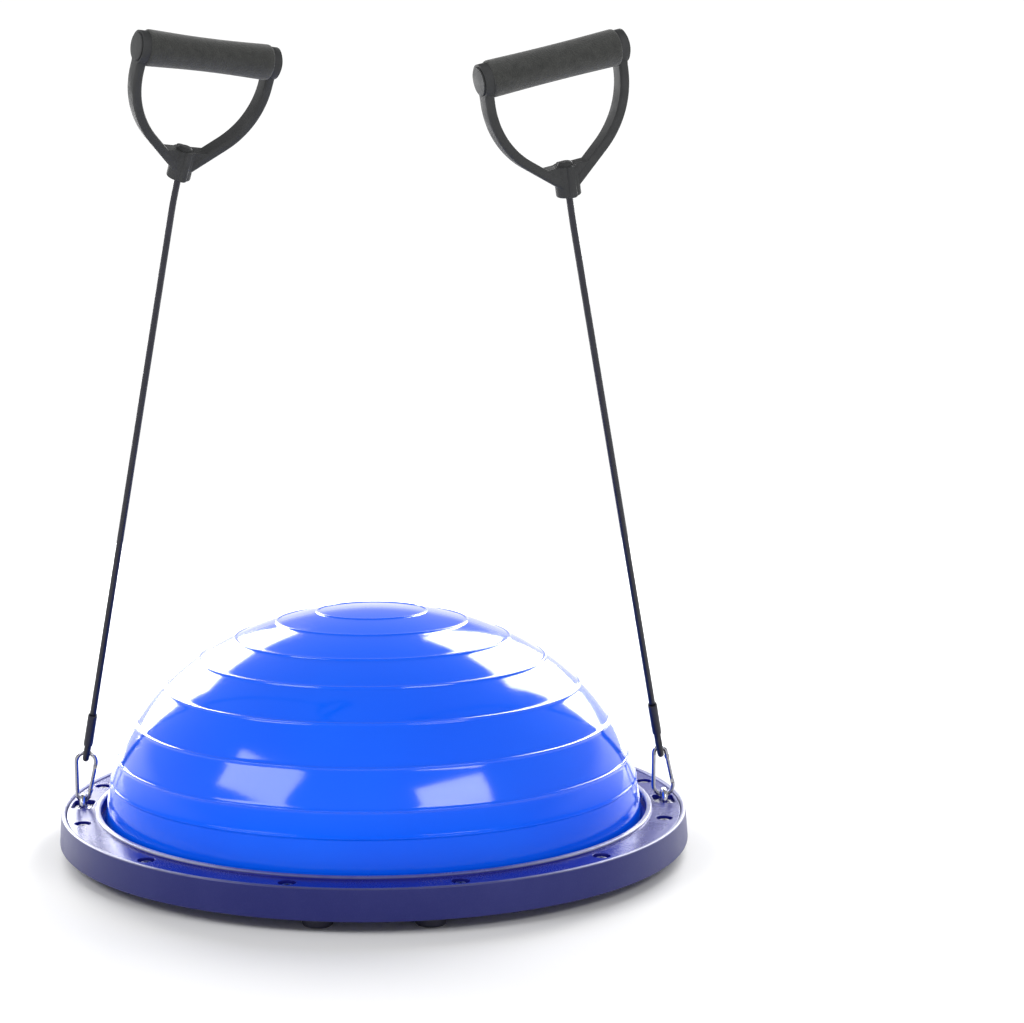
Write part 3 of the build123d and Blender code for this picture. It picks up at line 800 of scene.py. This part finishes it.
def addSleeve(side):
    own = sleeveSettings
    shape = bmesh.new()
    made = bmesh.ops.create_circle(shape, cap_ends=False, segments=own["segments"], radius=0.5)
    ring = [edge for edge in shape.edges]
    for vertex in made["verts"]:
        for axis in (0, 1):
            value = vertex.co[axis]
            vertex.co[axis] = math.copysign(abs(2 * value) ** own["squareness"], value) / 2
    lastShare, lastWidth = own["stations"][0]
    size = (lastWidth, own["thickness"] * own["mouthShare"], 1)
    bmesh.ops.scale(shape, vec=size, verts=shape.verts[:])
    loops = ring
    for share, width in own["stations"][1:]:
        verts, loops = grownFrom(shape, loops)
        rise = (share - lastShare) * own["length"]
        bmesh.ops.translate(shape, vec=(0, 0, rise), verts=verts)
        bmesh.ops.scale(shape, vec=(width / lastWidth, 1, 1), verts=verts)
        lastShare, lastWidth = share, width
    # turned in at both ends, against the tube
    low, high = own["mouth"]
    inner = own["innerMouth"]
    for ends, lift, shrink in ((ring, own["turnIn"], low), (loops, -own["turnIn"], high)):
        verts, edges = grownFrom(shape, ends)
        bmesh.ops.scale(shape, vec=(shrink, shrink, 1), verts=verts)
        verts, edges = grownFrom(shape, edges)
        bmesh.ops.translate(shape, vec=(0, 0, lift), verts=verts)
        bmesh.ops.scale(shape, vec=(inner, inner, 1), verts=verts)
        bmesh.ops.contextual_create(shape, geom=edges)
    lift = Matrix.Translation((0, 0, bandSettings[side]["sleeveStart"]))
    bmesh.ops.transform(shape, matrix=bandPlaces[side] @ lift, verts=shape.verts[:])
    piece = addPiece(f"sleeve_{side}", meshFrom("sleeve", shape), "sleeve_rubber", f"band_{side}")
    finishWith(piece, "SUBSURF", levels=2, render_levels=2)
    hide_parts(f"band_sleeve_{side}")


for side in sides:
    addSleeve(side)
print("sleeves made")

domeSettings = {
    "radius": 0.252,
    "height": 0.1964,
    "shoulder": 0.018,
    # (radius, height over the flange) from under the clamp ring to the neck
    "foot": ((0.264, 0), (0.2575, 0), (0.2530, 0.0004), (0.2520, 0.002), (0.2518, 0.008)),
    "wall": 0.0024,
    "ringRadii": (0.0513, 0.0890, 0.1289, 0.1623, 0.1943, 0.2220, 0.2396, 0.2468),
    "ringHeight": 0.0010,
    "ringWidth": 0.0014,  # half of it
    # across each ring: (distance in half widths, share of its height)
    "ringSection": ((-2.2, 0), (-1, 0), (-0.62, 0.72), (0, 1), (0.62, 0.72), (1, 0), (2.2, 0)),
    "largestStep": 0.05,  # radians round the ellipse
    "steps": 128,
}


def addDome():
    own = domeSettings
    low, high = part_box("dome_shell")
    level = high[2] - own["height"]
    start = math.asin(own["shoulder"] / own["height"])
    ringAngles = [math.acos(radius / own["radius"]) for radius in own["ringRadii"]]
    angles = {start: 0.0, math.pi / 2: 0.0}
    for angle in ringAngles:
        pitch = math.hypot(own["radius"] * math.sin(angle), own["height"] * math.cos(angle))
        for offset, share in own["ringSection"]:
            angles[angle + offset * own["ringWidth"] / pitch] = share * own["ringHeight"]
    stops = sorted(angles)
    for before, after in zip(stops, stops[1:]):
        if after - before > own["largestStep"]:
            count = int((after - before) / own["largestStep"]) + 1
            for number in range(1, count):
                angles[before + (after - before) * number / count] = 0.0
    profile = [(radius, level + height) for radius, height in own["foot"]]
    for angle in sorted(angles):
        across, up = math.cos(angle), math.sin(angle)
        normal = Vector((across / own["radius"], up / own["height"])).normalized()
        lift = angles[angle]
        radius = own["radius"] * across + normal[0] * lift
        profile.append((max(radius, 0.0), level + own["height"] * up + normal[1] * lift))
    profile[-1] = (0.0, level + own["height"])
    shape = spun(profile, own["steps"])
    piece = addPiece("dome", meshFrom("dome", shape), "dome_vinyl", "base")
    finishWith(piece, "SOLIDIFY", thickness=own["wall"], offset=-1.0)
    finishWith(piece, "SUBSURF", levels=1, render_levels=1)
    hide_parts("dome_shell")
    drop = -joints["dome_press"]["range_m"][0]
    1 - drop / own["height"]
    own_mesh(piece)


addDome()
print("dome made")

foamSettings = {
    "halfLength": 0.0566,
    "radius": 0.0150,
    "waist": {"left": 0.0138, "right": 0.0144},
    "bore": 0.0091,
    "corner": 0.0016,
    "steps": 48,
}


def addFoamGrip(side):
    own = foamSettings
    half, full, bore, corner = own["halfLength"], own["radius"], own["bore"], own["corner"]
    waist = own["waist"][side]
    outside = [
        (full - corner, -half),
        (full - 0.3 * corner, -half + 0.3 * corner),
        (full, -half + corner),
        (full, -half + 2.5 * corner),
        ((full + waist) / 2, -0.62 * half),
        (waist, -0.25 * half),
    ]
    mirrored = [(radius, -height) for radius, height in reversed(outside)]
    inside = [(bore, half), (bore, half - corner), (bore, -half + corner), (bore, -half)]
    shape = spun(outside + mirrored + inside, own["steps"], closed=True)
    centre = joints[f"grip_roll_{side}"]["pos_m"]
    axis = joints[f"grip_roll_{side}"]["axis"]
    place = placeAlong(centre, axis, (0, 0, 1))
    bmesh.ops.transform(shape, matrix=place, verts=shape.verts[:])
    piece = addPiece(f"foam_{side}", meshFrom("foam", shape), "grip_foam", f"grip_{side}")
    finishWith(piece, "SUBSURF", levels=2, render_levels=2)
    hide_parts(f"foam_grip_{side}")


for side in sides:
    addFoamGrip(side)
print("foam grips made")

studio = {
    "floorRadius": 2.4,
    "floorShade": (0.84, 0.84, 0.84),
    "floorDull": (0.80, 0.80, 0.80),
    "lampCentre": (0, 0, 0.12),
    # share of the way from straight down to straight up, and how bright it is there
    "world": ((0.0, 1.05), (0.58, 1.05), (0.63, 0.46), (1.0, 0.30)),
    # name: (degrees about Z from +X, degrees above level, distance, width, height, radiance)
    "lamps": {
        "windowLeft": (119, 19, 2.6, 1.30, 1.35, 12.0),
        "windowRight": (58, 27, 2.6, 1.30, 1.70, 12.0),
        "panelLeft": (-148, 37, 2.4, 1.35, 0.80, 6.0),
        "panelRight": (-52, 34, 2.4, 1.20, 0.50, 8.0),
    },
}


def addStudio(own):
    shape = bmesh.new()
    bmesh.ops.create_circle(shape, cap_ends=True, segments=96, radius=own["floorRadius"])
    floorMesh = meshFrom("floor", shape, recalculate=False)
    floor = bpy.data.objects.new("floor", floorMesh)
    bpy.context.collection.objects.link(floor)
    paint = Finish("floorPaint", roughness=0.75, specularIORLevel=0.2)
    faint = paint.noise(3.0, 3.0).between(0.3, 0.8)
    paint.set(baseColor=paint.mix(faint * 0.3, own["floorShade"], own["floorDull"]))
    floorMesh.materials.append(paint.material)
    for name, (turn, rise, distance, width, height, radiance) in own["lamps"].items():
        data = bpy.data.lights.new(name, "AREA")
        data.shape = "RECTANGLE"
        data.size, data.size_y = width, height
        data.energy = radiance * math.pi * width * height
        lamp = bpy.data.objects.new(name, data)
        bpy.context.collection.objects.link(lamp)
        turn, rise = math.radians(turn), math.radians(rise)
        level = math.cos(rise)
        aim = Vector((math.cos(turn) * level, math.sin(turn) * level, math.sin(rise)))
        facing = aim.to_track_quat("Z", "Y").to_matrix().to_4x4()
        place = aim * distance + Vector(own["lampCentre"])
        lamp.matrix_world = Matrix.Translation(place) @ facing
        lamp.visible_camera = False
    world = bpy.data.worlds.new("studio")
    world.use_nodes = True
    sky = NodeTree(world.node_tree)
    point = sky.node("ShaderNodeTexCoord", output="Generated")
    share = sky.node("ShaderNodeSeparateXYZ", {}, {0: point}, "Z").between(-1.0, 1.0)
    stops = [(position, (shade,) * 3) for position, shade in own["world"]]
    colour = sky.node("ShaderNodeValToRGB", {"stops": stops}, {0: share})
    glow = sky.node("ShaderNodeBackground", {}, {"Color": colour, "Strength": 1.0})
    sky.node("ShaderNodeOutputWorld", {}, {"Surface": glow})
    bpy.context.scene.world = world


addStudio(studio)
bpy.context.scene.view_settings.view_transform = "Standard"
print("studio set")
